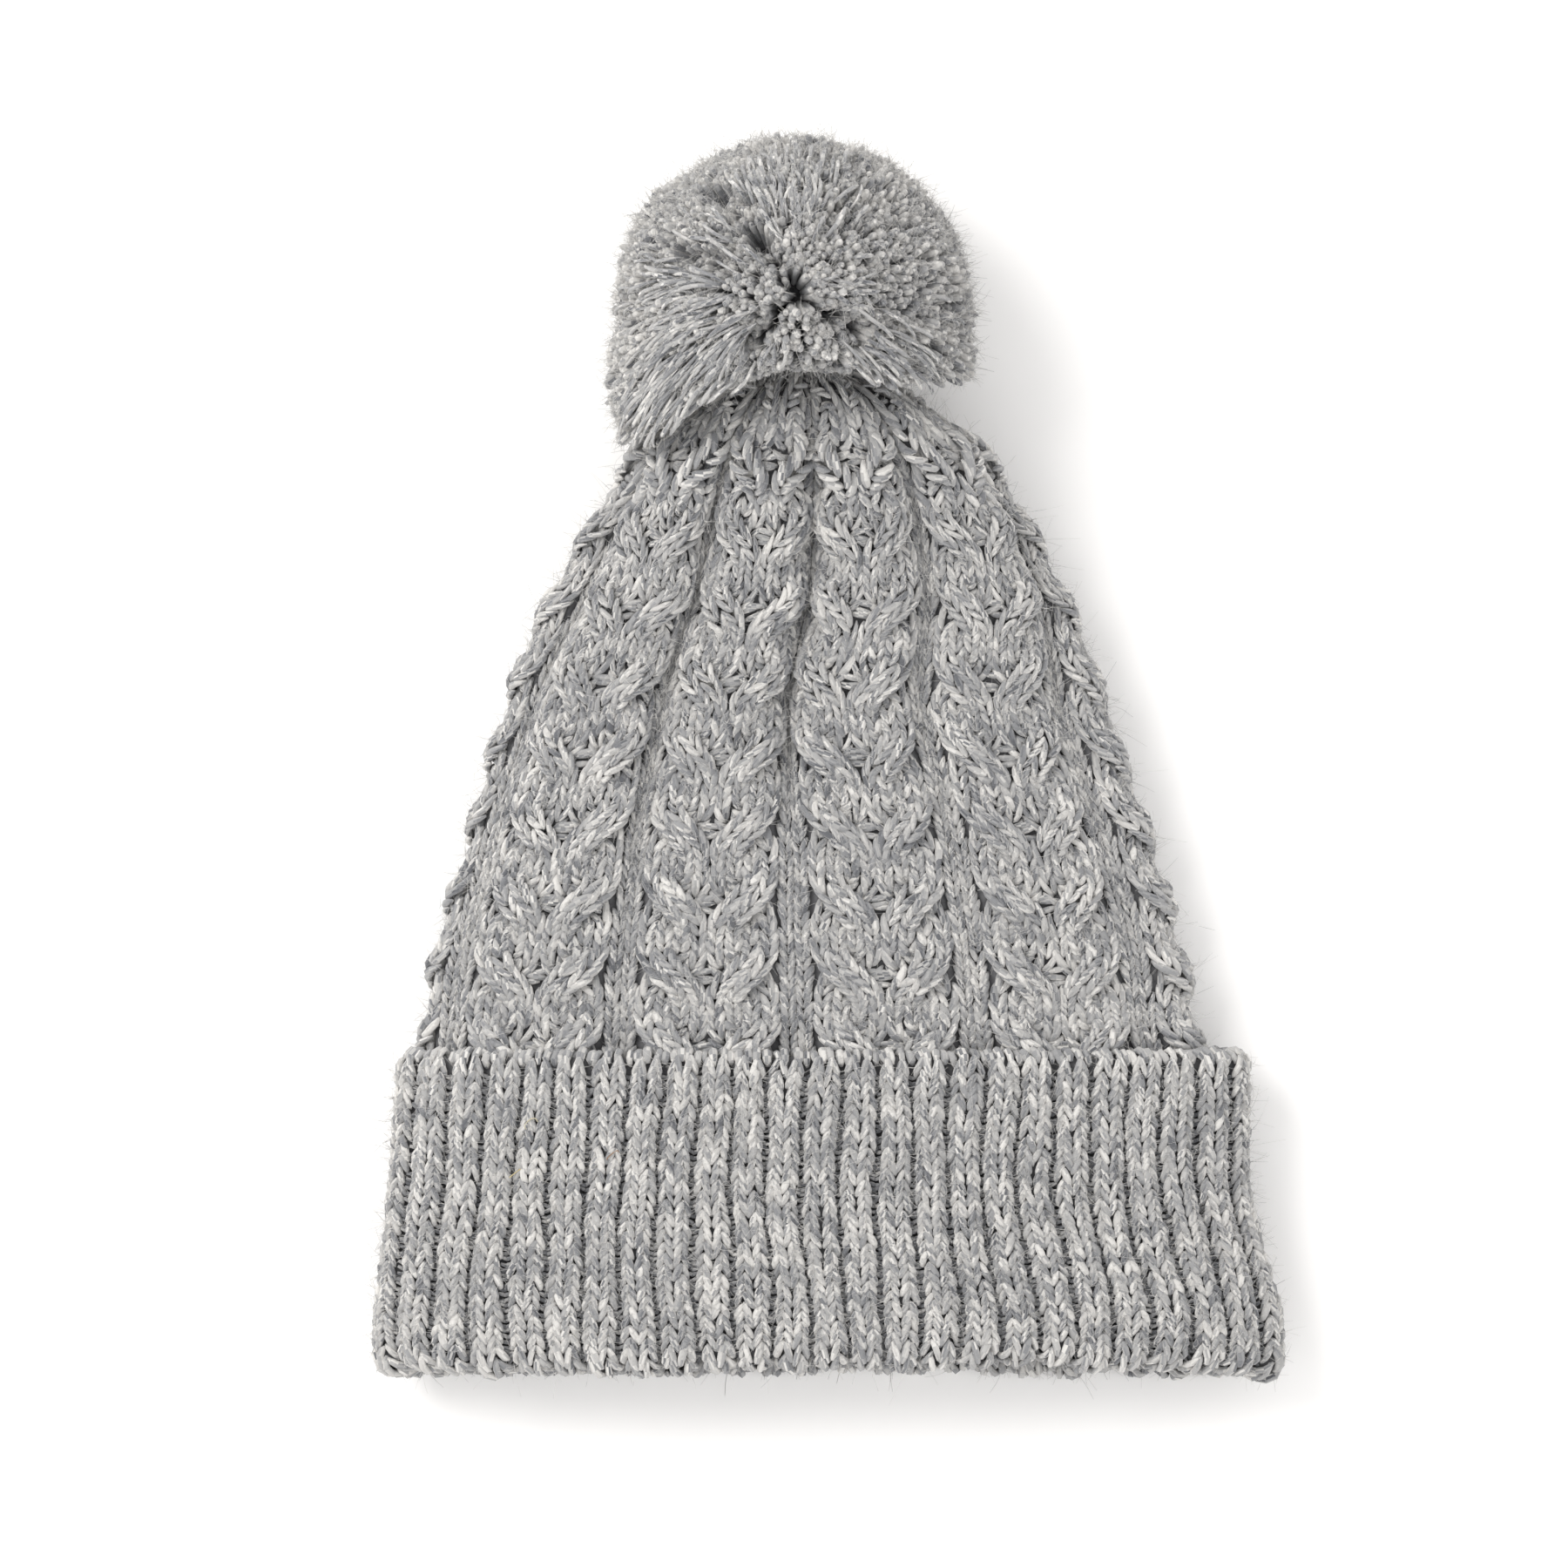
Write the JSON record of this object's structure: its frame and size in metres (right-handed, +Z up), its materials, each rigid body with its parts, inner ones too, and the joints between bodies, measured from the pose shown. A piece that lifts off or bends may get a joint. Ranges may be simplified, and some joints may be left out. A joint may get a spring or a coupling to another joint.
{
  "type": "pom pom beanie",
  "caption": "Cable-knit beanie lying flat, with a turned-up ribbed cuff, a gathered crown and a yarn pom pom tied to its tip.",
  "frame": {"origin": "centre of the footprint, on the surface the hat lies on", "axes": "+X to the right across the hat, +Y from the brim to the pom pom, +Z up through the front of the hat"},
  "size_m": [0.219, 0.2992, 0.0821],
  "materials": {
    "rib_knit": "chunky two by two rib in grey melange yarn, fuzzy",
    "cable_knit": "chunky horseshoe cables in grey melange yarn, fuzzy",
    "pompom_yarn": "cut ends of grey melange yarn, combed and fluffy",
    "sewing_yarn": "twisted grey yarn",
    "label_tape": "blank woven tape"
  },
  "bodies": {
    "hat": {"brim_turned_cuff": "rib_knit", "brim_inner_band": "rib_knit", "crown_shell": "cable_knit", "back_seam_yarn": "sewing_yarn", "care_label": "label_tape", "crown_gather_yarn": "sewing_yarn"},
    "tie_anchor": {"crown_anchor_knot": "sewing_yarn"},
    "tie": {"pompom_tie_tail_left": "sewing_yarn", "pompom_tie_tail_right": "sewing_yarn"},
    "pompom": {"pompom_strand_bundle": "pompom_yarn", "pompom_binding_yarn": "sewing_yarn", "pompom_binding_knot": "sewing_yarn"}
  },
  "joints": [
    {"name": "pompom_sway", "type": "hinge", "parent": "hat", "child": "tie_anchor", "pos_m": [-0.0055, 0.0912, 0.037], "axis": [0, 0, 1], "range_deg": [-20, 6]},
    {"name": "pompom_nod", "type": "hinge", "parent": "tie_anchor", "child": "tie", "pos_m": [-0.0055, 0.0912, 0.037], "axis": [1, 0, 0], "range_deg": [-10, 16]},
    {"name": "pompom_twist", "type": "hinge", "parent": "tie", "child": "pompom", "pos_m": [-0.0055, 0.092, 0.037], "axis": [-0.1815, 0.9739, 0.1361], "range_deg": [-30, 30]}
  ]
}
